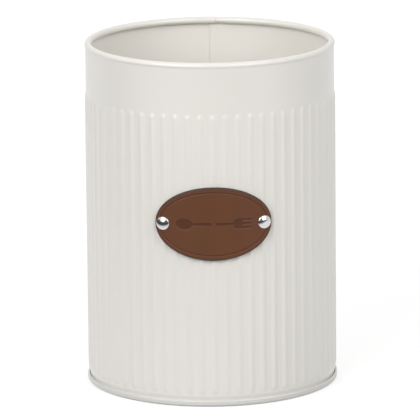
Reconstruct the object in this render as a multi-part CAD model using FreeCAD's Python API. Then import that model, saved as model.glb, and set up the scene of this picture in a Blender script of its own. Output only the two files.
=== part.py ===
import FreeCAD, Part
import math
import os

from FreeCAD import Vector

# Utensil holder: a round sheet-metal jar with pressed ribs, a rolled rim, a seamed-on base
# and an oval badge held by two capped rivets.
# Millimetres and degrees. Z points up, the jar stands on Z = 0 and the badge faces -Y.

# Body sheet
body_radius = 54.68
body_height = 152.4
body_sheet = 0.30

# Rolled rim, curled inward over the top edge of the body sheet
roll_radius = 1.55
roll_stand_off = 0.32
roll_flare_height = 0.9
roll_turn = 270.0
roll_flats = 6

# Pressed ribs, upright, each with a flat crest between two flanks
rib_count = 63
rib_width = 3.2
rib_crest_width = 1.3
rib_height = 0.40
rib_foot_height = 6.8
rib_top_gap = 22.4

# Lap seam down the back, where one end of the sheet dips under the other
lap_width = 3.05
lap_offset = 1.1
lap_joggle = 8.15
lap_nip = 0.02
lap_plain_margin = 3.0

# Double seam round the foot
base_sheet = 0.30
seam_stand_off = 0.75
seam_height = 2.7
seam_gap = 0.02
hook_play = 0.05
cover_hook_rise = 0.25
neck_rise = 0.8
neck_rib_gap = 0.4

# Base panel, set up inside the foot
base_recess = 4.15

# Oval badge, wrapped round the ribs
badge_width = 52.8
badge_height = 32.4
badge_thickness = 1.6
badge_centre_height = 81.8

# Double-cap rivets through the badge and the body wall
rivet_edge_distance = 3.8
cap_diameter = 6.0
cap_height = 1.35
cap_rim_height = 0.35
cap_seat_depth = 0.15
shank_diameter = 2.4
shank_play = 0.05
shank_grip = 0.55
back_cap_diameter = 6.0
back_cap_height = 1.0
back_cap_rim_height = 0.3
dome_flats = 2

# Radii of the five layers in the double seam, each at the middle of its sheet
layer_step = base_sheet / 2 + seam_gap + body_sheet / 2
seam_radius = body_radius + seam_stand_off
seaming_wall_radius = seam_radius - base_sheet / 2
body_hook_radius = seaming_wall_radius - layer_step
cover_hook_radius = body_hook_radius - layer_step
neck_radius = cover_hook_radius - layer_step
chuck_wall_radius = neck_radius - layer_step

# Other sizes that follow from those above
wall_mid_radius = body_radius - body_sheet / 2
wall_inner_radius = body_radius - body_sheet
rib_crest_radius = math.hypot(body_radius + rib_height, rib_crest_width / 2)
rib_pitch_angle = 360.0 / rib_count
rib_top_height = body_height - rib_top_gap
neck_top = rib_foot_height - neck_rib_gap
badge_inner_radius = rib_crest_radius
badge_outer_radius = badge_inner_radius + badge_thickness
rivet_angle = math.degrees((badge_width / 2 - rivet_edge_distance) / badge_outer_radius)
cap_seat_radius = badge_outer_radius - cap_seat_depth
back_seat_radius = math.sqrt(wall_inner_radius ** 2 - (back_cap_diameter / 2) ** 2)

UP = Vector(0, 0, 1)
ORIGIN = Vector(0, 0, 0)


def arc_angle(length):
    """Angle that an arc of this length takes on the body's outer face."""
    return math.degrees(length / body_radius)


# Angles round the jar from +X: the sheet runs from its outer edge at the lap round to the joggle,
# dips there by its own thickness and ends under that outer edge
badge_angle = 270.0
lap_angle = arc_angle(lap_width)
outer_edge = 90.0 - arc_angle(lap_offset) - lap_angle
joggle_end = outer_edge + 360.0
joggle_start = joggle_end - arc_angle(lap_joggle)


def at(radius, height):
    """Point of a turned section, in the XZ plane."""
    return Vector(radius, 0, height)


def round_point(radius, angle, height):
    """Point at an angle round the jar from +X."""
    turn = math.radians(angle)
    return Vector(radius * math.cos(turn), radius * math.sin(turn), height)


def side_of_strip(corners, offset):
    """Corners of one side of a folded sheet, offset to the left of travel along its middle."""
    runs = [(b - a).normalize() for a, b in zip(corners, corners[1:])]
    lefts = [Vector(-run.z, 0, run.x) for run in runs]
    points = [corners[0] + lefts[0] * offset]
    for corner, before, after in zip(corners[1:], lefts, lefts[1:]):
        points.append(corner + (before + after) * (offset / (1 + before.dot(after))))
    return points + [corners[-1] + lefts[-1] * offset]


def strip_wire(corners, thickness, shift=0.0):
    """Closed outline of a folded sheet whose middle runs beside the path, shifted to its left."""
    left = side_of_strip(corners, shift + thickness / 2)
    right = side_of_strip(corners, shift - thickness / 2)
    return Part.makePolygon(left + right[::-1] + left[:1])


def turned(wire, angle=360.0, start=0.0):
    """Solid turned about the Z axis from a closed outline in the XZ plane."""
    solid = Part.Face(wire).revolve(ORIGIN, UP, angle)
    solid.rotate(ORIGIN, UP, start)
    return solid


def rim_path():
    """Corners of the sheet's middle from the neck up the wall and round the rim roll."""
    step = math.radians(roll_turn / roll_flats)
    mid_radius = roll_radius - body_sheet / 2 / math.cos(step / 2)
    centre = at(body_radius + roll_stand_off - roll_radius, body_height - roll_radius)
    turns = [index * step for index in range(roll_flats + 1)]
    roll = [centre + at(math.cos(turn), math.sin(turn)) * mid_radius for turn in turns]
    flare_foot = at(wall_mid_radius, centre.z - roll_flare_height)
    return [at(wall_mid_radius, neck_top), flare_foot] + roll


def foot_path():
    """Corners of the sheet's middle from the wall down through the neck and body hook."""
    fold_height = base_sheet + seam_gap + body_sheet / 2
    return [
        at(wall_mid_radius, neck_top),
        at(neck_radius, seam_height + neck_rise),
        at(neck_radius, fold_height),
        at(body_hook_radius, fold_height),
        at(body_hook_radius, seam_height - base_sheet - hook_play),
    ]


def rib_angles():
    """Angles of the ribs, leaving the plain strip beside the lap seam."""
    clear = arc_angle(lap_plain_margin + rib_width / 2)
    first = math.ceil((outer_edge + lap_angle + clear - badge_angle) / rib_pitch_angle)
    last = math.floor((joggle_start - clear - badge_angle) / rib_pitch_angle)
    return [badge_angle + index * rib_pitch_angle for index in range(first, last + 1)]


def rib_bar():
    """Rib on +X: a flat crest and two flanks, standing on the wall and rooted in its sheet."""
    half = rib_width / 2
    foot = math.sqrt(body_radius ** 2 - half ** 2)
    root = foot - body_sheet / 2
    crest = body_radius + rib_height
    outline = Part.makePolygon([
        Vector(root, -half, rib_foot_height),
        Vector(foot, -half, rib_foot_height),
        Vector(crest, -rib_crest_width / 2, rib_foot_height),
        Vector(crest, rib_crest_width / 2, rib_foot_height),
        Vector(foot, half, rib_foot_height),
        Vector(root, half, rib_foot_height),
        Vector(root, -half, rib_foot_height),
    ])
    return Part.Face(outline).extrude(UP * (rib_top_height - rib_foot_height))


def ribs():
    """All the ribs, each a copy of the one on +X."""
    bars = []
    for angle in rib_angles():
        bar = rib_bar()
        bar.rotate(ORIGIN, UP, angle)
        bars.append(bar)
    return bars


def lap_layer(corners):
    """Joggle that dips the sheet by its own thickness, and the layer that lies under the lap."""
    dip = body_sheet - lap_nip
    start = strip_wire(corners, body_sheet)
    start.rotate(ORIGIN, UP, joggle_start)
    dipped = strip_wire(corners, body_sheet, dip)
    under = turned(dipped, lap_angle, joggle_end)
    dipped.rotate(ORIGIN, UP, joggle_end)
    return Part.makeLoft([start, dipped], True, True).fuse(under)


def make_body_shell():
    """Rolled and lapped sheet with its rim roll, ribs, neck, body hook and rivet holes."""
    corners = rim_path()
    wall = turned(strip_wire(corners, body_sheet), joggle_start - outer_edge, outer_edge)
    wall = wall.fuse(ribs())
    wall = wall.cut([rivet_rod(shank_diameter / 2 + shank_play, side) for side in (-1, 1)])
    foot = turned(strip_wire(foot_path(), body_sheet))
    return wall.fuse([foot, lap_layer(corners)])


def make_base_plate():
    """Stamped base with its panel, chuck wall, seaming wall and cover hook."""
    low = base_sheet / 2
    top = seam_height - base_sheet / 2
    fold_top = base_sheet + seam_gap + body_sheet
    corners = [
        at(0, base_recess),
        at(chuck_wall_radius, base_recess),
        at(chuck_wall_radius, low),
        at(seaming_wall_radius, low),
        at(seaming_wall_radius, top),
        at(cover_hook_radius, top),
        at(cover_hook_radius, fold_top + cover_hook_rise),
    ]
    return turned(strip_wire(corners, base_sheet))


def plane_point(angle, height):
    """Point on an unrolled cylinder, as an angle round the axis and a height."""
    return FreeCAD.Base.Vector2d(angle, height)


def wrapped_oval(width, height, inner_radius, outer_radius):
    """Oval plate bent round the Z axis, its width measured along the arc of its outer face."""
    half_angle = width / 2 / outer_radius
    rims = []
    faces = []
    for radius in (inner_radius, outer_radius):
        surface = Part.Cylinder()
        surface.Radius = radius
        centre = plane_point(math.pi, badge_centre_height)
        top = plane_point(math.pi, badge_centre_height + height / 2)
        flank = plane_point(math.pi + half_angle, badge_centre_height)
        rim = Part.Geom2d.Ellipse2d(top, flank, centre).toShape(surface)
        rims.append(rim)
        faces.append(Part.Face(surface, Part.Wire(rim)))
    side = Part.makeRuledSurface(rims[0], rims[1])
    plate = Part.Solid(Part.makeShell(faces + side.Faces))
    plate.rotate(ORIGIN, UP, 90.0)
    return plate


def rivet_rod(radius, side):
    """Rod along the axis of the left (-1) or right (1) rivet, through wall and badge."""
    rod = Part.makeCylinder(radius, body_radius, Vector(0, 0, wall_mid_radius / 2), UP)
    return on_rivet_axis(rod, side)


def on_rivet_axis(shape, side):
    """Move a shape built along Z, measured from the jar's axis, onto a rivet's axis."""
    placed = shape.copy()
    placed.rotate(ORIGIN, Vector(1, 0, 0), 90)
    placed.rotate(ORIGIN, UP, side * rivet_angle)
    placed.translate(Vector(0, 0, badge_centre_height))
    return placed


def make_badge():
    """Curved oval badge with its rivet holes and pressed-in cap seats."""
    badge = wrapped_oval(badge_width, badge_height, badge_inner_radius, badge_outer_radius)
    for side in (-1, 1):
        seat = Part.makeCylinder(cap_diameter / 2 + shank_play, cap_height, at(0, cap_seat_radius), UP)
        badge = badge.cut([rivet_rod(shank_diameter / 2 + shank_play, side), on_rivet_axis(seat, side)])
    return badge


def dome(radius, rim_height, height, base):
    """Solid dome on a short straight rim, built along Z, its rounding made of flats."""
    rise = height - rim_height
    sphere = (radius ** 2 + rise ** 2) / (2 * rise)
    centre = at(0, base + height - sphere)
    spread = math.asin(radius / sphere)
    turns = [spread * (1 - index / dome_flats) for index in range(dome_flats + 1)]
    crown = [centre + at(math.sin(turn), math.cos(turn)) * sphere for turn in turns]
    return turned(Part.makePolygon([at(0, base), at(radius, base)] + crown + [at(0, base)]))


def make_rivet_cap(side):
    """Domed cap on the badge's face, with a bore that grips the end of the post."""
    outside = dome(cap_diameter / 2, cap_rim_height, cap_height, cap_seat_radius)
    bore = Part.makeCylinder(shank_diameter / 2, 2 * shank_grip, at(0, cap_seat_radius - shank_grip), UP)
    return on_rivet_axis(outside.cut(bore), side)


def make_rivet_post(side):
    """Back cap inside the jar with its shank through wall and badge into the front cap."""
    back = dome(back_cap_diameter / 2, back_cap_rim_height, back_cap_height, 0)
    back.rotate(ORIGIN, Vector(1, 0, 0), 180)
    back.translate(at(0, back_seat_radius))
    root = back_seat_radius - back_cap_rim_height / 2
    shank = Part.makeCylinder(shank_diameter / 2, cap_seat_radius + shank_grip - root, at(0, root), UP)
    return on_rivet_axis(back.fuse(shank), side)


def write_nodes(nodes):
    """Write one file for each piece and print its volume."""
    os.makedirs("parts", exist_ok=True)
    for name, shape in nodes.items():
        solids = shape.Solids
        shape = solids[0] if len(solids) == 1 else shape
        print(name, len(solids), "solid", round(shape.Volume, 2), "mm3", shape.isValid())
        shape.exportStep("parts/" + name + ".step")


write_nodes({
    "body_shell": make_body_shell(),
    "base_plate": make_base_plate(),
    "badge": make_badge(),
    "rivet_cap_left": make_rivet_cap(-1),
    "rivet_cap_right": make_rivet_cap(1),
    "rivet_post_left": make_rivet_post(-1),
    "rivet_post_right": make_rivet_post(1),
})
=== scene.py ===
"""Dressed model of a round ribbed utensil jar with a rolled rim and a riveted leather badge."""
import logging
import math
from dataclasses import dataclass
from enum import Enum
from functools import partial
from typing import Any, Mapping, Sequence

import bpy
from mathutils import Matrix, Vector


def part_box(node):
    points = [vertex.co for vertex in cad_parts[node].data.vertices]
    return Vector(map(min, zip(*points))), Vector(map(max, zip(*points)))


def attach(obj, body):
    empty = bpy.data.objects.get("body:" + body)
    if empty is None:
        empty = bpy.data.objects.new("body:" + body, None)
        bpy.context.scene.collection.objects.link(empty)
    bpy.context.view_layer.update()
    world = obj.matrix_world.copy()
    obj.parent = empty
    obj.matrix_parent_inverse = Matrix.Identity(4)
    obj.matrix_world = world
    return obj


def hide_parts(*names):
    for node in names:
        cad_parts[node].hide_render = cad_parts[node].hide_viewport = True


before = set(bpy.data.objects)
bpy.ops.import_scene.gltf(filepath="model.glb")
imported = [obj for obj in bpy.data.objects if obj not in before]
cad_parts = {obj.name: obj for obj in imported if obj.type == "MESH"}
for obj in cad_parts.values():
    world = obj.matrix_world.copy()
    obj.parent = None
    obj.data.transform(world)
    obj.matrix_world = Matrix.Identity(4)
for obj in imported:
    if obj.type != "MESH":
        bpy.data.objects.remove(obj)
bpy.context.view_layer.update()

MM = 0.001
HALF_TURN = math.pi
FULL_TURN = 2 * math.pi
OFF_THE_WALL = 1.0

log = logging.getLogger("utensil_jar")


class Side(Enum):
    """The two rivets, as seen from the front; the value is the sign of their angle."""

    LEFT = -1
    RIGHT = 1


# Helpers


def linear(code: str) -> tuple[float, float, float, float]:
    """Turn an sRGB hex colour into linear values.

    Args:
        code: Six hex digits after a hash sign.

    Returns:
        Red, green, blue and an alpha of one.
    """
    parts = [int(code[start:start + 2], 16) / 255 for start in (1, 3, 5)]
    bent = [p / 12.92 if p <= 0.04045 else ((p + 0.055) / 1.055) ** 2.4 for p in parts]
    return (bent[0], bent[1], bent[2], 1.0)


def add_node(
    tree: bpy.types.NodeTree,
    kind: str,
    inputs: Mapping[Any, Any] | None = None,
    **settings: Any,
) -> bpy.types.Node:
    """Add a node with its settings and links.

    Args:
        tree: Tree that the node goes into.
        kind: Blender's name for the kind of node.
        inputs: For each input, by name or number, a value or the socket that feeds it.
        **settings: Properties of the node, set before its inputs.

    Returns:
        The new node.
    """
    node = tree.nodes.new(kind)
    for name, value in settings.items():
        setattr(node, name, value)
    for key, value in (inputs or {}).items():
        shown = [socket for socket in node.inputs if socket.enabled]
        socket = shown[key] if isinstance(key, int) else next(s for s in shown if s.name == key)
        if isinstance(value, bpy.types.NodeSocket):
            tree.links.new(value, socket)
        else:
            socket.default_value = value
    return node


def smoothstep(low: float, high: float, value: float) -> float:
    """Ease from 0 at low to 1 at high."""
    share = min(1.0, max(0.0, (value - low) / (high - low)))
    return share * share * (3 - 2 * share)


def settle(piece: bpy.types.Object, node: str) -> None:
    """Tie a finished piece to the frame.

    Args:
        piece: The visible piece.
        node: CAD node that it stands for.
    """
    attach(piece, "root")
    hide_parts(node)
    log.info("%s: %d faces, for node %s", piece.name, len(piece.data.polygons), node)


# Finishes


@dataclass(frozen=True)
class PowderCoat:
    """Satin powder coat baked on tinplate: an even pale film with a very fine orange peel."""

    name: str
    colour: str
    shade: str
    roughness: float = 0.36
    skin: float = 0.8
    skin_roughness: float = 0.32
    cloud_size: float = 45.0
    # The real orange peel is finer than a pixel at this distance, so it is drawn coarser.
    peel_size: float = 0.9
    peel_depth: float = 0.004

    def build(self) -> bpy.types.Material:
        """Build the finish.

        Returns:
            A material on Object coordinates.
        """
        material = bpy.data.materials.new(self.name)
        material.use_nodes = True
        tree = material.node_tree
        tree.nodes.clear()
        place = add_node(tree, "ShaderNodeTexCoord").outputs["Object"]
        clouds = add_node(tree, "ShaderNodeTexNoise", {
            "Vector": place, "Scale": 1 / (self.cloud_size * MM), "Detail": 2.0,
        })
        colour = add_node(tree, "ShaderNodeMix", {
            "Factor": clouds.outputs["Fac"], "A": linear(self.colour), "B": linear(self.shade),
        }, data_type="RGBA")
        peel = add_node(tree, "ShaderNodeTexNoise", {
            "Vector": place, "Scale": 1 / (self.peel_size * MM), "Detail": 1.0,
        })
        bump = add_node(tree, "ShaderNodeBump", {
            "Height": peel.outputs["Fac"], "Strength": 1.0, "Distance": self.peel_depth * MM,
        })
        gloss = add_node(tree, "ShaderNodeMapRange", {
            "Value": peel.outputs["Fac"], "To Min": self.roughness - 0.03, "To Max": self.roughness + 0.03,
        })
        shader = add_node(tree, "ShaderNodeBsdfPrincipled", {
            "Base Color": colour.outputs["Result"],
            "Roughness": gloss.outputs["Result"],
            "Normal": bump.outputs["Normal"],
            "Coat Weight": self.skin,
            "Coat Roughness": self.skin_roughness,
        })
        add_node(tree, "ShaderNodeOutputMaterial", {"Surface": shader.outputs["BSDF"]})
        return material


@dataclass(frozen=True)
class PressedLeather:
    """Smooth bonded leather, heat pressed: it darkens where the die and the cutter burnt it."""

    name: str = "bonded leather, heat pressed"
    colour: str = "#6A4027"
    shade: str = "#603923"
    pressed: str = "#55301C"
    edge: str = "#403129"
    roughness: float = 0.50
    cloud_size: float = 9.0
    # The real pores are about a third of this: they are drawn coarser so that they show.
    grain_size: float = 0.55
    grain_depth: float = 0.018

    def build(self) -> bpy.types.Material:
        """Build the finish.

        Returns:
            A material on Object coordinates and on the piece's own pressed and cut attributes.
        """
        material = bpy.data.materials.new(self.name)
        material.use_nodes = True
        tree = material.node_tree
        tree.nodes.clear()
        place = add_node(tree, "ShaderNodeTexCoord").outputs["Object"]
        clouds = add_node(tree, "ShaderNodeTexNoise", {
            "Vector": place, "Scale": 1 / (self.cloud_size * MM), "Detail": 4.0,
        })
        hide = add_node(tree, "ShaderNodeMix", {
            "Factor": clouds.outputs["Fac"], "A": linear(self.colour), "B": linear(self.shade),
        }, data_type="RGBA")
        burnt = hide
        for attribute, code in (("pressed", self.pressed), ("cut", self.edge)):
            share = add_node(tree, "ShaderNodeAttribute", attribute_name=attribute)
            burnt = add_node(tree, "ShaderNodeMix", {
                "Factor": share.outputs["Fac"], "A": burnt.outputs["Result"], "B": linear(code),
            }, data_type="RGBA")
        pores = add_node(tree, "ShaderNodeTexVoronoi", {
            "Vector": place, "Scale": 1 / (self.grain_size * MM),
        })
        bump = add_node(tree, "ShaderNodeBump", {
            "Height": pores.outputs["Distance"], "Strength": 1.0, "Distance": self.grain_depth * MM,
        })
        gloss = add_node(tree, "ShaderNodeMapRange", {
            "Value": clouds.outputs["Fac"], "To Min": self.roughness - 0.06, "To Max": self.roughness + 0.06,
        })
        shader = add_node(tree, "ShaderNodeBsdfPrincipled", {
            "Base Color": burnt.outputs["Result"],
            "Roughness": gloss.outputs["Result"],
            "Normal": bump.outputs["Normal"],
            "Specular IOR Level": 0.35,
        })
        add_node(tree, "ShaderNodeOutputMaterial", {"Surface": shader.outputs["BSDF"]})
        return material


@dataclass(frozen=True)
class BrightNickel:
    """Bright nickel plate on a stamped steel cap: a clear mirror with faint tumbling marks."""

    name: str = "bright nickel plate"
    colour: str = "#E0E0DF"
    roughness: float = 0.21
    # Real tumbling marks are hair fine: they are drawn coarser, or nothing of them would show.
    mark_size: float = 0.7

    def build(self) -> bpy.types.Material:
        """Build the finish.

        Returns:
            A material on Object coordinates.
        """
        material = bpy.data.materials.new(self.name)
        material.use_nodes = True
        tree = material.node_tree
        tree.nodes.clear()
        place = add_node(tree, "ShaderNodeTexCoord").outputs["Object"]
        marks = add_node(tree, "ShaderNodeTexNoise", {
            "Vector": place, "Scale": 1 / (self.mark_size * MM), "Detail": 3.0,
        })
        gloss = add_node(tree, "ShaderNodeMapRange", {
            "Value": marks.outputs["Fac"], "To Min": self.roughness - 0.05, "To Max": self.roughness + 0.07,
        })
        shader = add_node(tree, "ShaderNodeBsdfPrincipled", {
            "Base Color": linear(self.colour), "Metallic": 1.0, "Roughness": gloss.outputs["Result"],
        })
        add_node(tree, "ShaderNodeOutputMaterial", {"Surface": shader.outputs["BSDF"]})
        return material


# Turned and pressed forms


@dataclass
class SectionPoint:
    """A point of a turned section: its place and how far past the ribs' ends it lies."""

    radius: float
    height: float
    beyond: float = OFF_THE_WALL


def rounded(corners: Sequence[tuple[float, float, float]], steps: int = 6) -> list[SectionPoint]:
    """Round the corners of a path in the section plane.

    Args:
        corners: Radius, height and fillet of each corner, in metres.
        steps: Segments to a fillet.

    Returns:
        The points of the rounded path.
    """
    points = [SectionPoint(*corners[0][:2])]
    for before, (radius, height, fillet), after in zip(corners, corners[1:], corners[2:]):
        here = Vector((radius, height))
        back = (Vector(before[:2]) - here).normalized()
        on = (Vector(after[:2]) - here).normalized()
        turn = HALF_TURN - back.angle(on)
        if not fillet or turn < 1e-6:
            points.append(SectionPoint(radius, height))
            continue
        reach = fillet * math.tan(turn / 2)
        centre = here + (back + on).normalized() * (fillet / math.cos(turn / 2))
        first = here + back * reach - centre
        sense = 1 if (-back).cross(on) > 0 else -1
        for step in range(steps + 1):
            arm = Matrix.Rotation(sense * turn * step / steps, 2) @ first
            points.append(SectionPoint(*(centre + arm)))
    points.append(SectionPoint(*corners[-1][:2]))
    return points


class TurnedForm:
    """Geometry Nodes tree that turns a section round the Z axis and presses ribs and a lap in it."""

    SOCKETS = (
        ("Section", "NodeSocketGeometry"),
        ("Columns", "NodeSocketInt"),
        ("Start", "NodeSocketFloat"),
        ("Sweep", "NodeSocketFloat"),
        ("First Rib", "NodeSocketFloat"),
        ("Rib Pitch", "NodeSocketFloat"),
        ("Rib Total", "NodeSocketFloat"),
        ("Rib Half Width", "NodeSocketFloat"),
        ("Rib Height", "NodeSocketFloat"),
        ("Wall Radius", "NodeSocketFloat"),
        ("Dip Start", "NodeSocketFloat"),
        ("Dip End", "NodeSocketFloat"),
        ("Dip", "NodeSocketFloat"),
        ("Turn", "NodeSocketVector"),
        ("Move", "NodeSocketVector"),
        ("Finish", "NodeSocketMaterial"),
    )

    def __init__(self) -> None:
        """Build the tree once for all the forms."""
        self.tree = bpy.data.node_groups.new("turned form", "GeometryNodeTree")
        self.identifiers: dict[str, str] = {}
        for name, kind in self.SOCKETS:
            socket = self.tree.interface.new_socket(name=name, in_out="INPUT", socket_type=kind)
            self.identifiers[name] = socket.identifier
        self.tree.interface.new_socket(name="Form", in_out="OUTPUT", socket_type="NodeSocketGeometry")
        self._wire()

    def _wire(self) -> None:
        """Lay the nodes: a grid of columns by section points, placed, turned and pressed."""
        node = partial(add_node, self.tree)
        maths = partial(node, "ShaderNodeMath")
        given = node("NodeGroupInput").outputs
        size = node("GeometryNodeAttributeDomainSize", {"Geometry": given["Section"]})
        rows = size.outputs["Point Count"]
        grid = node("GeometryNodeMeshGrid", {"Vertices X": given["Columns"], "Vertices Y": rows})
        index = node("GeometryNodeInputIndex").outputs[0]
        row = maths({0: index, 1: rows}, operation="MODULO").outputs[0]
        column = maths({0: maths({0: index, 1: rows}, operation="DIVIDE").outputs[0]}, operation="FLOOR")
        last = maths({0: given["Columns"], 1: 1.0}, operation="SUBTRACT").outputs[0]
        share = maths({0: column.outputs[0], 1: last}, operation="DIVIDE").outputs[0]
        angle = maths({0: share, 1: given["Sweep"], 2: given["Start"]}, operation="MULTIPLY_ADD").outputs[0]

        sampled = {}
        sources = {
            "place": ("FLOAT_VECTOR", node("GeometryNodeInputPosition").outputs[0]),
            "outward": ("FLOAT_VECTOR", node(
                "GeometryNodeInputNamedAttribute", {"Name": "outward"}, data_type="FLOAT_VECTOR",
            ).outputs["Attribute"]),
            "beyond": ("FLOAT", node(
                "GeometryNodeInputNamedAttribute", {"Name": "beyond"}, data_type="FLOAT",
            ).outputs["Attribute"]),
        }
        for name, (kind, source) in sources.items():
            sampled[name] = node("GeometryNodeSampleIndex", {
                "Geometry": given["Section"], "Value": source, "Index": row,
            }, data_type=kind).outputs["Value"]

        past_first = maths({0: angle, 1: given["First Rib"]}, operation="SUBTRACT").outputs[0]
        pitches = maths({0: past_first, 1: given["Rib Pitch"]}, operation="DIVIDE").outputs[0]
        nearest = maths({0: pitches}, operation="ROUND").outputs[0]
        last_rib = maths({0: given["Rib Total"], 1: 1.0}, operation="SUBTRACT").outputs[0]
        held = node("ShaderNodeClamp", {"Value": nearest, "Min": 0.0, "Max": last_rib}).outputs[0]
        aside = maths({0: pitches, 1: held}, operation="SUBTRACT").outputs[0]
        aside = maths({0: aside, 1: given["Rib Pitch"]}, operation="MULTIPLY").outputs[0]
        aside = maths({0: aside, 1: given["Wall Radius"]}, operation="MULTIPLY").outputs[0]
        reach = node("ShaderNodeCombineXYZ", {"X": aside, "Y": sampled["beyond"]}).outputs[0]
        away = node("ShaderNodeVectorMath", {0: reach}, operation="LENGTH").outputs["Value"]
        rise = node("ShaderNodeMapRange", {
            "Value": away, "From Min": 0.0, "From Max": given["Rib Half Width"],
            "To Min": given["Rib Height"], "To Max": 0.0,
        }, interpolation_type="SMOOTHSTEP").outputs["Result"]
        dip = node("ShaderNodeMapRange", {
            "Value": angle, "From Min": given["Dip Start"], "From Max": given["Dip End"],
            "To Min": 0.0, "To Max": given["Dip"],
        }, interpolation_type="SMOOTHSTEP").outputs["Result"]
        shift = maths({0: rise, 1: dip}, operation="SUBTRACT").outputs[0]
        pushed = node("ShaderNodeVectorMath", {
            0: sampled["outward"], "Scale": shift,
        }, operation="SCALE").outputs["Vector"]
        section = node("ShaderNodeVectorMath", {
            0: sampled["place"], 1: pushed,
        }, operation="ADD").outputs["Vector"]
        turned = node("ShaderNodeVectorRotate", {
            "Vector": section, "Angle": angle,
        }, rotation_type="Z_AXIS").outputs["Vector"]

        form = node("GeometryNodeSetPosition", {
            "Geometry": grid.outputs["Mesh"], "Position": turned,
        }).outputs["Geometry"]
        form = node("GeometryNodeMergeByDistance", {"Geometry": form, "Distance": 1e-6}).outputs["Geometry"]
        form = node("GeometryNodeTransform", {
            "Geometry": form, "Rotation": given["Turn"], "Translation": given["Move"],
        }).outputs["Geometry"]
        form = node("GeometryNodeSetShadeSmooth", {"Geometry": form}).outputs["Geometry"]
        form = node("GeometryNodeRealizeInstances", {"Geometry": form}).outputs["Geometry"]
        form = node("GeometryNodeSetMaterial", {
            "Geometry": form, "Material": given["Finish"],
        }).outputs["Geometry"]
        node("NodeGroupOutput", {"Form": form})

    def make(
        self,
        name: str,
        points: Sequence[SectionPoint],
        finish: bpy.types.Material,
        sheet: float = 0.0,
        **inputs: Any,
    ) -> bpy.types.Object:
        """Turn a section into a plain mesh piece.

        Args:
            name: Name of the piece.
            points: The section, from foot to top.
            finish: Material of the piece.
            sheet: Thickness of the sheet round the section, or 0 for a section that is closed.
            **inputs: Values for the tree's inputs, by name with underscores for spaces.

        Returns:
            The piece, at the origin, with no modifier left on it.
        """
        section = bpy.data.meshes.new(name + " section")
        places = [(point.radius, 0.0, point.height) for point in points]
        section.from_pydata(places, [(i, i + 1) for i in range(len(places) - 1)], [])
        outward: list[float] = []
        for before, after in zip(places[:1] + places, places[1:] + places[-1:]):
            along = (Vector(after) - Vector(before)).normalized()
            outward += [along.z, 0.0, -along.x]
        section.attributes.new("outward", "FLOAT_VECTOR", "POINT").data.foreach_set("vector", outward)
        distances = [point.beyond for point in points]
        section.attributes.new("beyond", "FLOAT", "POINT").data.foreach_set("value", distances)
        maker = bpy.data.objects.new(name + " maker", section)
        bpy.context.collection.objects.link(maker)
        modifier = maker.modifiers.new("turned form", "NODES")
        modifier.node_group = self.tree
        values = {
            "Columns": 97, "Start": 0.0, "Sweep": FULL_TURN, "First Rib": 0.0, "Rib Pitch": 1.0,
            "Rib Total": 1.0, "Rib Half Width": 1.0, "Rib Height": 0.0, "Wall Radius": 1.0,
            "Dip Start": FULL_TURN * 2, "Dip End": FULL_TURN * 3, "Dip": 0.0,
            "Turn": (0.0, 0.0, 0.0), "Move": (0.0, 0.0, 0.0), "Finish": finish,
        }
        values.update({key.replace("_", " "): value for key, value in inputs.items()})
        for key, value in values.items():
            modifier[self.identifiers[key]] = value
        if sheet:
            wall = maker.modifiers.new("sheet", "SOLIDIFY")
            wall.thickness = sheet
            wall.offset = 0.0
            wall.use_even_offset = True
        graph = bpy.context.evaluated_depsgraph_get()
        mesh = bpy.data.meshes.new_from_object(maker.evaluated_get(graph), depsgraph=graph)
        mesh.name = name
        bpy.data.objects.remove(maker)
        piece = bpy.data.objects.new(name, mesh)
        bpy.context.collection.objects.link(piece)
        return piece


# Sub-assemblies


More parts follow.
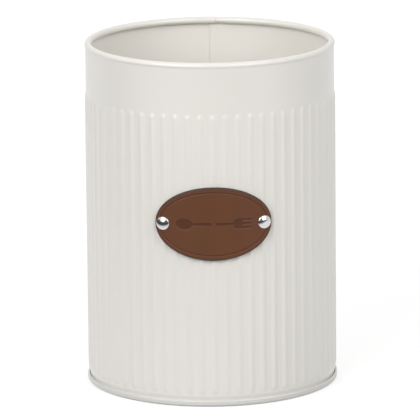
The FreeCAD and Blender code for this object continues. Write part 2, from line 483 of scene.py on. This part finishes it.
@dataclass
class BodyShell:
    """Body of the jar: one pressed sheet, rolled round, lapped at the back and curled at the rim."""

    height: float
    radius: float = 54.68 * MM
    sheet: float = 0.30 * MM
    roll_radius: float = 1.55 * MM
    roll_stand_off: float = 0.32 * MM
    roll_turn: float = math.radians(275)
    flare_height: float = 0.9 * MM
    rib_pitches: int = 63
    ribs: int = 59
    ribs_before_badge: int = 30
    rib_width: float = 3.4 * MM
    rib_height: float = 0.46 * MM
    rib_end: float = 2.8 * MM
    rib_foot: float = 4.7 * MM
    rib_top_gap: float = 22.1 * MM
    columns_per_pitch: int = 10
    end_rows: int = 9
    lap_start: float = math.radians(85.65)
    joggle_start: float = math.radians(437.11)
    joggle_end: float = math.radians(445.65)
    lap_end: float = math.radians(448.85)
    badge_angle: float = math.radians(270)
    neck_radius: float = 54.12 * MM
    neck_bottom: float = 3.1 * MM
    neck_top: float = 4.5 * MM
    hook_radius: float = 54.96 * MM
    hook_bottom: float = 0.47 * MM
    hook_top: float = 2.3 * MM

    def section(self) -> list[SectionPoint]:
        """Lay out the middle of the sheet from the body hook up to the end of the curl.

        Returns:
            The points of the section, those of the wall with their distance past the ribs' ends.
        """
        middle = self.radius - self.sheet / 2
        roll = self.roll_radius - self.sheet / 2
        centre = Vector((
            self.radius + self.roll_stand_off - self.roll_radius,
            self.height - self.roll_radius,
        ))
        foot = rounded([
            (self.hook_radius, self.hook_top, 0.0),
            (self.hook_radius, self.hook_bottom, 0.15 * MM),
            (self.neck_radius, self.hook_bottom, 0.15 * MM),
            (self.neck_radius, self.neck_bottom, 1.2 * MM),
            (middle, self.neck_top, 1.2 * MM),
            (middle, self.rib_foot, 0.0),
        ], steps=4)
        half = self.rib_width / 2
        top = self.height - self.rib_top_gap
        shares = [step / self.end_rows for step in range(self.end_rows + 1)]
        wall = [
            SectionPoint(middle, self.rib_foot + self.rib_end * share, half * (1 - share))
            for share in shares
        ]
        wall += [
            SectionPoint(middle, top - self.rib_end * (1 - share), half * share)
            for share in shares
        ]
        flare_foot = centre.y - self.flare_height
        flare = rounded([
            (middle, top + 1.0 * MM, 0.0),
            (middle, flare_foot, 0.8 * MM),
            (centre.x + roll, centre.y - 0.15 * MM, 0.0),
        ], steps=4)
        turns = [self.roll_turn * step / 28 for step in range(29)]
        curl = [SectionPoint(centre.x + roll * math.cos(a), centre.y + roll * math.sin(a)) for a in turns]
        return foot[:-1] + wall + flare + curl

    def build(self, form: TurnedForm, finish: bpy.types.Material) -> bpy.types.Object:
        """Turn, rib and lap the sheet.

        Args:
            form: The tree that turns sections.
            finish: Coat of the sheet.

        Returns:
            The body's visible piece.
        """
        pitch = FULL_TURN / self.rib_pitches
        sweep = self.lap_end - self.lap_start
        piece = form.make(
            "body_sheet", self.section(), finish, sheet=self.sheet,
            Columns=round(sweep / pitch * self.columns_per_pitch) + 1,
            Start=self.lap_start, Sweep=sweep,
            First_Rib=self.badge_angle - self.ribs_before_badge * pitch, Rib_Pitch=pitch,
            Rib_Total=float(self.ribs), Rib_Half_Width=self.rib_width / 2,
            Rib_Height=self.rib_height, Wall_Radius=self.radius,
            Dip_Start=self.joggle_start, Dip_End=self.joggle_end, Dip=self.sheet + 0.02 * MM,
        )
        settle(piece, "body_shell")
        return piece


@dataclass
class BasePlate:
    """Stamped base, folded up and over the body's foot in a double seam."""

    seam_radius: float
    sheet: float = 0.30 * MM
    seam_height: float = 2.7 * MM
    recess: float = 4.15 * MM
    bead_radius: float = 42.0 * MM
    bead_width: float = 3.4 * MM
    bead_height: float = 0.45 * MM
    chuck_radius: float = 53.80 * MM
    hook_radius: float = 54.64 * MM
    hook_bottom: float = 0.9 * MM

    def section(self) -> list[SectionPoint]:
        """Lay out the middle of the sheet from the base's centre to the end of the cover hook.

        Returns:
            The points of the section.
        """
        low = self.sheet / 2
        wall = self.seam_radius - self.sheet / 2
        top = self.seam_height - self.sheet / 2
        level = self.recess - self.bead_height
        return rounded([
            (0.0, self.recess, 0.0),
            (self.bead_radius, self.recess, 1.5 * MM),
            (self.bead_radius + self.bead_width / 2, level, 1.5 * MM),
            (self.bead_radius + self.bead_width, self.recess, 1.5 * MM),
            (self.chuck_radius, self.recess, 0.9 * MM),
            (self.chuck_radius, low, 0.25 * MM),
            (wall, low, 0.95 * MM),
            (wall, top, 0.30 * MM),
            (self.hook_radius, top, 0.30 * MM),
            (self.hook_radius, self.hook_bottom, 0.0),
        ], steps=6)

    def build(self, form: TurnedForm, finish: bpy.types.Material) -> bpy.types.Object:
        """Turn the base.

        Args:
            form: The tree that turns sections.
            finish: Coat of the base.

        Returns:
            The base's visible piece.
        """
        piece = form.make("base_stamping", self.section(), finish, sheet=self.sheet, Columns=361)
        settle(piece, "base_plate")
        return piece


@dataclass
class Badge:
    """Oval leather badge, bent round the ribs, with a pressed border and a pressed emblem."""

    outer_radius: float
    half_width: float
    half_height: float
    centre_height: float
    thickness: float = 1.6 * MM
    edge_round: float = 0.8 * MM
    edge_burn: float = 1.25 * MM
    border_inset: float = 2.25 * MM
    border_width: float = 0.95 * MM
    border_depth: float = 0.28 * MM
    emblem_depth: float = 0.28 * MM
    emblem_edge: float = 0.30 * MM
    rays: int = 384
    inner_rings: int = 84
    outer_rings: int = 44
    rim_rings: int = 8

    def inset(self, across: float, up: float) -> float:
        """Distance of a point of the flat badge from its edge."""
        to_edge = math.hypot(across / self.half_width, up / self.half_height)
        slope = math.hypot(across / self.half_width ** 2, up / self.half_height ** 2)
        return to_edge * (1 - to_edge) / slope if slope else self.half_height

    @staticmethod
    def bar(across: float, up: float, start: float, end: float, level: float, wide: float) -> float:
        """Distance in millimetres outside a level bar with round ends."""
        held = min(max(across, start), end)
        return math.hypot(across - held, up - level) - wide

    def emblem(self, across: float, up: float) -> float:
        """Distance outside the emblem: a spoon on the left and a fork on the right.

        Args:
            across: Place along the badge, from its middle.
            up: Height above the badge's middle.

        Returns:
            Distance from the emblem's outline, negative inside it.
        """
        x, y = across / MM, up / MM
        bowl = (math.hypot((x + 13.0) / 3.7, y / 2.45) - 1) * 2.45
        shapes = [
            bowl,
            self.bar(x, y, -9.4, -1.6, 0.0, 0.42 + 0.035 * (x + 9.4)),
            self.bar(x, y, 1.6, 9.0, 0.0, 0.42 + 0.035 * (9.0 - x)),
            self.bar(x, y * 0.62, 9.9, 11.3, 0.0, 1.35),
        ]
        shapes += [self.bar(x, y, 11.4, 16.3, level, 0.42) for level in (-1.72, 0.0, 1.72)]
        return min(shapes) * MM

    def surface(self, across: float, up: float) -> tuple[float, float]:
        """Form the badge's face at a point.

        Args:
            across: Place along the badge, from its middle.
            up: Height above the badge's middle.

        Returns:
            Height of the face above the ribs and how hard the die pressed there, 0 to 1.
        """
        inset = self.inset(across, up)
        height = self.thickness
        if inset < self.edge_round:
            drop = self.edge_round - inset
            height += math.sqrt(max(self.edge_round ** 2 - drop ** 2, 0.0)) - self.edge_round
        line = 1 - smoothstep(0.0, self.border_width / 2, abs(inset - self.border_inset))
        mark = 1 - smoothstep(-self.emblem_edge / 2, self.emblem_edge / 2, self.emblem(across, up))
        return height - self.border_depth * line - self.emblem_depth * mark, max(line, mark)

    def place(self, across: float, up: float, height: float) -> tuple[float, float, float]:
        """Bend a point of the flat badge round the jar."""
        turn = across / self.outer_radius
        reach = self.outer_radius - self.thickness + height
        return (reach * math.sin(turn), -reach * math.cos(turn), self.centre_height + up)

    def rings(self) -> list[float]:
        """Sizes of the face's rings, closer together where the border runs."""
        knee = 0.66
        inner = [knee * step / self.inner_rings for step in range(1, self.inner_rings + 1)]
        outer = [knee + (1 - knee) * step / self.outer_rings for step in range(1, self.outer_rings + 1)]
        return inner + outer

    def build(self, finish: bpy.types.Material) -> bpy.types.Object:
        """Form the face, the edge and the back of the badge.

        Args:
            finish: The leather.

        Returns:
            The badge's visible piece.
        """
        flat: list[tuple[float, float, float]] = []
        pressed: list[float] = []
        cut: list[float] = []
        height, share = self.surface(0.0, 0.0)
        flat.append((0.0, 0.0, height))
        pressed.append(share)
        cut.append(0.0)
        rays = [FULL_TURN * ray / self.rays for ray in range(self.rays)]
        for size in self.rings():
            for ray in rays:
                across = self.half_width * size * math.cos(ray)
                up = self.half_height * size * math.sin(ray)
                height, share = self.surface(across, up)
                flat.append((across, up, height))
                pressed.append(share)
                cut.append(1 - smoothstep(0.0, self.edge_burn, self.inset(across, up)))
        side = self.thickness - self.edge_round
        for step in range(1, self.rim_rings + 1):
            for ray in rays:
                flat.append((
                    self.half_width * math.cos(ray), self.half_height * math.sin(ray),
                    side * (1 - step / self.rim_rings),
                ))
                pressed.append(0.0)
                cut.append(1.0)
        flat.append((0.0, 0.0, 0.0))
        pressed.append(0.0)
        cut.append(0.0)
        back_rings = (0.9, 0.75, 0.6, 0.45, 0.3, 0.15)
        for size in back_rings:
            for ray in rays:
                flat.append((
                    self.half_width * size * math.cos(ray),
                    self.half_height * size * math.sin(ray), 0.0,
                ))
                pressed.append(0.0)
                cut.append(0.0)
        faces = self.faces(len(self.rings()) + self.rim_rings, len(back_rings))
        mesh = bpy.data.meshes.new("badge_oval")
        mesh.from_pydata([self.place(*point) for point in flat], [], faces)
        for name, values in (("pressed", pressed), ("cut", cut)):
            mesh.attributes.new(name, "FLOAT", "POINT").data.foreach_set("value", values)
        mesh.materials.append(finish)
        mesh.shade_smooth()
        piece = bpy.data.objects.new("badge_oval", mesh)
        bpy.context.collection.objects.link(piece)
        settle(piece, "badge")
        return piece

    def faces(self, front: int, back: int) -> list[tuple[int, ...]]:
        """Join the rings of points into faces that look outwards.

        Args:
            front: Rings of the face and the edge together.
            back: Rings of the back, largest first.

        Returns:
            The faces as indices of points.
        """
        count = self.rays
        middle = 1 + front * count
        starts = [1 + ring * count for ring in range(front)]
        starts += [middle + 1 + ring * count for ring in range(back)]
        faces: list[tuple[int, ...]] = []
        for ray in range(count):
            on = (ray + 1) % count
            faces.append((0, starts[0] + ray, starts[0] + on))
            faces.append((middle, starts[-1] + on, starts[-1] + ray))
            for inner, outer in zip(starts, starts[1:]):
                faces.append((inner + ray, outer + ray, outer + on, inner + on))
        return faces


@dataclass
class Rivet:
    """Double-cap rivet: a domed cap on the badge and a post with a back cap inside the jar."""

    side: Side
    angle: float
    height: float
    cap_seat: float
    cap_radius: float = 3.0 * MM
    cap_height: float = 1.35 * MM
    cap_rim: float = 0.35 * MM
    back_seat: float = 54.297 * MM
    back_height: float = 1.0 * MM
    back_rim: float = 0.3 * MM
    shank_radius: float = 1.2 * MM
    shank_grip: float = 0.55 * MM
    dome_steps: int = 14

    def dome(self, seat: float, rim: float, rise: float, facing: int) -> list[SectionPoint]:
        """Lay out a dome from its rim to its top.

        Args:
            seat: Level of the flat side.
            rim: Height of the rounded rim above the seat.
            rise: Height of the whole dome.
            facing: 1 for a dome that points outwards, -1 for one that points into the jar.

        Returns:
            The points, from the flat side's edge to the top.
        """
        bulge = rise - rim
        sphere = (self.cap_radius ** 2 + bulge ** 2) / (2 * bulge)
        spread = math.asin(self.cap_radius / sphere)
        points = [
            SectionPoint(self.cap_radius - 0.12 * MM, seat),
            SectionPoint(self.cap_radius - 0.03 * MM, seat + facing * 0.04 * MM),
            SectionPoint(self.cap_radius, seat + facing * 0.12 * MM),
            SectionPoint(self.cap_radius, seat + facing * (rim - 0.06 * MM)),
        ]
        for step in range(1, self.dome_steps + 1):
            turn = spread * (1 - step / self.dome_steps)
            level = rise - sphere + sphere * math.cos(turn)
            points.append(SectionPoint(sphere * math.sin(turn), seat + facing * level))
        return points

    def build(self, form: TurnedForm, finish: bpy.types.Material) -> list[bpy.types.Object]:
        """Turn the cap and the post and set them on the rivet's axis.

        Args:
            form: The tree that turns sections.
            finish: The plating.

        Returns:
            The cap's and the post's visible pieces.
        """
        side = self.side.name.lower()
        pose = {
            "Columns": 65,
            "Turn": (HALF_TURN / 2, 0.0, self.side.value * self.angle),
            "Move": (0.0, 0.0, self.height),
        }
        cap = form.make(
            "rivet_dome_" + side,
            [SectionPoint(0.0, self.cap_seat)]
            + self.dome(self.cap_seat, self.cap_rim, self.cap_height, 1),
            finish, **pose,
        )
        settle(cap, "rivet_cap_" + side)
        end = self.cap_seat + self.shank_grip
        back = self.dome(self.back_seat, self.back_rim, self.back_height, -1)[::-1]
        shank = [
            SectionPoint(self.shank_radius, self.back_seat),
            SectionPoint(self.shank_radius, end),
            SectionPoint(0.0, end),
        ]
        post = form.make("rivet_shank_" + side, back + shank, finish, **pose)
        settle(post, "rivet_post_" + side)
        return [cap, post]


# Studio


@dataclass
class Studio:
    """White sweep, soft light and the camera at the photograph's angle."""

    floor_size: float = 8.0
    lens: float = 448.4
    distance: float = 2.3153
    elevation: float = math.radians(12.835)
    azimuth: float = math.radians(-1.12)
    roll: float = math.radians(-0.543)
    aim_height: float = 75.45 * MM
    aim_aside: float = -0.493 * MM
    room_light: float = 0.06
    aisle: tuple[float, float, float] = (-0.57, -0.82, 0.0)
    paper_reach: float = 0.17
    wall_light: float = 0.78
    back_light: float = 0.74
    ceiling_light: float = 0.50
    left_power: float = 11.0
    right_power: float = 7.3
    back_power: float = 6.0
    softbox: float = 0.9
    softbox_distance: float = 1.4
    softbox_lift: float = math.radians(30)
    paper: str = "#A6A6A6"
    paper_glow: float = 0.56
    # Higher than this, the floor clips to white and the jar's shadow is lost.
    paper_glow_in_view: float = 0.66

    def camera(self) -> None:
        """Place the camera."""
        right = Vector((math.cos(self.azimuth), math.sin(self.azimuth), 0.0))
        back = Vector((
            math.sin(self.azimuth) * math.cos(self.elevation),
            -math.cos(self.azimuth) * math.cos(self.elevation),
            math.sin(self.elevation),
        ))
        up = back.cross(right)
        turn = Matrix.Rotation(self.roll, 3, back)
        right, up = turn @ right, turn @ up
        data = bpy.data.cameras.new("camera")
        data.lens = self.lens
        data.sensor_width = 36.0
        data.clip_start, data.clip_end = 0.1, 50.0
        camera = bpy.data.objects.new("camera", data)
        bpy.context.collection.objects.link(camera)
        aim = Vector((math.cos(self.azimuth), math.sin(self.azimuth), 0.0)) * self.aim_aside
        aim.z = self.aim_height
        place = Matrix((right, up, back)).transposed().to_4x4()
        place.translation = aim + back * self.distance
        camera.matrix_world = place
        bpy.context.scene.camera = camera

    def seen_directly(self, tree: bpy.types.NodeTree) -> bpy.types.NodeSocket:
        """Tell rays that look at the surroundings, straight or by a reflection.

        Args:
            tree: Tree of the world or the floor.

        Returns:
            A socket that is 1 for such rays.
        """
        path = add_node(tree, "ShaderNodeLightPath").outputs
        seen = add_node(tree, "ShaderNodeMath", {
            0: path["Is Camera Ray"], 1: path["Is Glossy Ray"],
        }, operation="MAXIMUM").outputs[0]
        return add_node(tree, "ShaderNodeMath", {
            0: seen, 1: path["Is Transmission Ray"],
        }, operation="MAXIMUM").outputs[0]

    def world(self) -> None:
        """Surround the jar with even light, and show the surroundings as white."""
        world = bpy.data.worlds.new("white surroundings")
        bpy.context.scene.world = world
        world.use_nodes = True
        tree = world.node_tree
        tree.nodes.clear()
        way = add_node(tree, "ShaderNodeTexCoord").outputs["Generated"]
        parts = add_node(tree, "ShaderNodeSeparateXYZ", {"Vector": way}).outputs
        wall = add_node(tree, "ShaderNodeMapRange", {
            "Value": parts["Y"], "From Min": -0.9, "From Max": -0.2,
            "To Min": self.room_light, "To Max": self.wall_light,
        }, interpolation_type="SMOOTHSTEP").outputs["Result"]
        round_it = add_node(tree, "ShaderNodeMapRange", {
            "Value": parts["Y"], "From Min": 0.1, "From Max": 0.8,
            "To Min": wall, "To Max": self.back_light,
        }, interpolation_type="SMOOTHSTEP").outputs["Result"]
        lit = add_node(tree, "ShaderNodeMapRange", {
            "Value": parts["Z"], "From Min": 0.3, "From Max": 0.9,
            "To Min": round_it, "To Max": self.ceiling_light,
        }, interpolation_type="SMOOTHSTEP").outputs["Result"]
        toward = add_node(tree, "ShaderNodeVectorMath", {
            0: way, 1: self.aisle,
        }, operation="DOT_PRODUCT").outputs["Value"]
        aisle = add_node(tree, "ShaderNodeMapRange", {
            "Value": toward, "From Min": -0.25, "From Max": 0.1, "To Min": 0.0, "To Max": 1.0,
        }, interpolation_type="SMOOTHSTEP").outputs["Result"]
        low = add_node(tree, "ShaderNodeMapRange", {
            "Value": parts["Z"], "From Min": 0.18, "From Max": 0.40, "To Min": 1.0, "To Max": 0.0,
        }, interpolation_type="SMOOTHSTEP").outputs["Result"]
        path = add_node(tree, "ShaderNodeLightPath").outputs
        unlit = add_node(tree, "ShaderNodeMath", {0: aisle, 1: low}, operation="MULTIPLY").outputs[0]
        unlit = add_node(tree, "ShaderNodeMath", {
            0: unlit, 1: path["Is Glossy Ray"],
        }, operation="MULTIPLY").outputs[0]
        seen = add_node(tree, "ShaderNodeMix", {
            "Factor": unlit, "A": lit, "B": self.room_light,
        }).outputs["Result"]
        level = add_node(tree, "ShaderNodeMix", {
            "Factor": path["Is Camera Ray"], "A": seen, "B": 1.0,
        }).outputs["Result"]
        light = add_node(tree, "ShaderNodeBackground", {"Color": (1.0, 1.0, 1.0, 1.0), "Strength": level})
        add_node(tree, "ShaderNodeOutputWorld", {"Surface": light.outputs[0]})

    def floor(self) -> None:
        """Lay a white floor that keeps the jar's shadow."""
        half = self.floor_size / 2
        mesh = bpy.data.meshes.new("floor")
        level = -0.02 * MM
        corners = [(-half, -half, level), (half, -half, level), (half, half, level), (-half, half, level)]
        mesh.from_pydata(corners, [], [(0, 1, 2, 3)])
        material = bpy.data.materials.new("white seamless paper")
        material.use_nodes = True
        tree = material.node_tree
        tree.nodes.clear()
        paper = add_node(tree, "ShaderNodeBsdfDiffuse", {"Color": linear(self.paper)})
        in_view = add_node(tree, "ShaderNodeLightPath").outputs["Is Camera Ray"]
        strength = add_node(tree, "ShaderNodeMix", {
            "Factor": in_view, "A": self.paper_glow, "B": self.paper_glow_in_view,
        }).outputs["Result"]
        glow = add_node(tree, "ShaderNodeEmission", {"Color": (1.0, 1.0, 1.0, 1.0), "Strength": strength})
        lit = add_node(tree, "ShaderNodeAddShader", {0: paper.outputs[0], 1: glow.outputs[0]})
        shown = add_node(tree, "ShaderNodeMixShader", {
            "Fac": self.seen_directly(tree), 1: paper.outputs[0], 2: lit.outputs[0],
        })
        place = add_node(tree, "ShaderNodeTexCoord").outputs["Object"]
        toward = add_node(tree, "ShaderNodeVectorMath", {
            0: place, 1: self.aisle,
        }, operation="DOT_PRODUCT").outputs["Value"]
        past = add_node(tree, "ShaderNodeMapRange", {
            "Value": toward, "From Min": self.paper_reach - 0.05, "From Max": self.paper_reach + 0.07,
            "To Min": 0.0, "To Max": 1.0,
        }, interpolation_type="SMOOTHSTEP").outputs["Result"]
        glossy = add_node(tree, "ShaderNodeLightPath").outputs["Is Glossy Ray"]
        past = add_node(tree, "ShaderNodeMath", {0: past, 1: glossy}, operation="MULTIPLY").outputs[0]
        dark = add_node(tree, "ShaderNodeBsdfDiffuse", {"Color": linear("#303030")})
        shown = add_node(tree, "ShaderNodeMixShader", {
            "Fac": past, 1: shown.outputs[0], 2: dark.outputs[0],
        })
        add_node(tree, "ShaderNodeOutputMaterial", {"Surface": shown.outputs[0]})
        mesh.materials.append(material)
        floor = bpy.data.objects.new("floor", mesh)
        bpy.context.collection.objects.link(floor)

    def lamp(self, name: str, aside: float, power: float) -> bpy.types.Object:
        """Stand a softbox in front of the jar, turned to it.

        Args:
            name: Name of the lamp.
            aside: Angle from straight in front, to the right, in degrees.
            power: Power in watts.

        Returns:
            The lamp.
        """
        data = bpy.data.lights.new(name, "AREA")
        data.size = self.softbox
        data.energy = power
        lamp = bpy.data.objects.new(name, data)
        bpy.context.collection.objects.link(lamp)
        turn, lift = math.radians(aside), self.softbox_lift
        away = Vector((math.sin(turn) * math.cos(lift), -math.cos(turn) * math.cos(lift), math.sin(lift)))
        lamp.location = Vector((0.0, 0.0, self.aim_height)) + away * self.softbox_distance
        lamp.rotation_mode = "QUATERNION"
        lamp.rotation_quaternion = away.to_track_quat("Z", "Y")
        return lamp

    def build(self) -> None:
        """Set up the whole studio."""
        self.camera()
        self.world()
        self.floor()
        self.lamp("left softbox", -35.0, self.left_power)
        self.lamp("right softbox", 35.0, self.right_power)
        # It only fills the back: its reflection would lay a glare along the rim.
        self.lamp("back softbox", 180.0, self.back_power).visible_glossy = False
        bpy.context.scene.view_settings.view_transform = "Standard"


def main() -> None:
    """Build the studio and the jar, piece by piece."""
    logging.basicConfig(level=logging.INFO, format="%(name)s: %(message)s")
    Studio().build()
    # The coat gives soft, wide highlights on the ribs and along the rim.
    cream = PowderCoat("satin powder coat, cream", "#EBE8E2", "#E8E5DE").build()
    # The base has a thinner, duller coat: its foot reads a shade greyer than the body.
    base_cream = PowderCoat("satin powder coat, base", "#DBDAD6", "#D8D7D2", skin=0.4).build()
    # The leather gives a dull brown oval with a darker burnt edge, border and emblem.
    leather = PressedLeather().build()
    # The nickel gives small bright domes that mirror the studio.
    nickel = BrightNickel().build()

    form = TurnedForm()
    _, body_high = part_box("body_shell")
    _, base_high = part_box("base_plate")
    badge_low, badge_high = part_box("badge")
    outer = 56.684 * MM
    half_width = math.asin(badge_high.x / outer) * outer
    centre = (badge_low.z + badge_high.z) / 2
    BodyShell(height=body_high.z).build(form, cream)
    BasePlate(seam_radius=base_high.x).build(form, base_cream)
    badge = Badge(
        outer_radius=outer, half_width=half_width,
        half_height=(badge_high.z - badge_low.z) / 2, centre_height=centre,
    )
    badge.build(leather)
    rivet_angle = (half_width - 3.8 * MM) / outer
    for side in Side:
        Rivet(side=side, angle=rivet_angle, height=centre, cap_seat=outer - 0.15 * MM).build(form, nickel)


if __name__ == "__main__":
    main()
